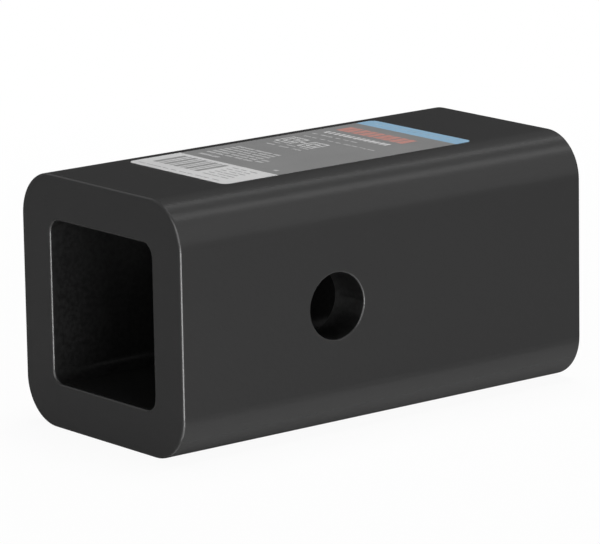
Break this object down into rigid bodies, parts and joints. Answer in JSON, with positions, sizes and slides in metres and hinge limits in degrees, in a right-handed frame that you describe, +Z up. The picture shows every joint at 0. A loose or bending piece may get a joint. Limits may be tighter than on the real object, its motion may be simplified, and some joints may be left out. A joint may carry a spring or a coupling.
{
  "type": "hitch reducer sleeve",
  "caption": "Square steel sleeve that slides into a 2 inch hitch receiver and takes a 1-1/4 inch shank, with a cross pin hole and a printed film on its top wall.",
  "frame": {"origin": "the middle of the underside, where the sleeve rests", "axes": "+X along the tube, away from the end that the pin hole is nearer to; +Y along the pin's axis; +Z up, towards the printed film"},
  "size_m": [0.1016, 0.0508, 0.0509],
  "materials": {
    "powder_coat": "satin",
    "film": "satin"
  },
  "bodies": {
    "root": {"sleeve_tube": "powder_coat", "printed_film": "film"}
  },
  "joints": []
}
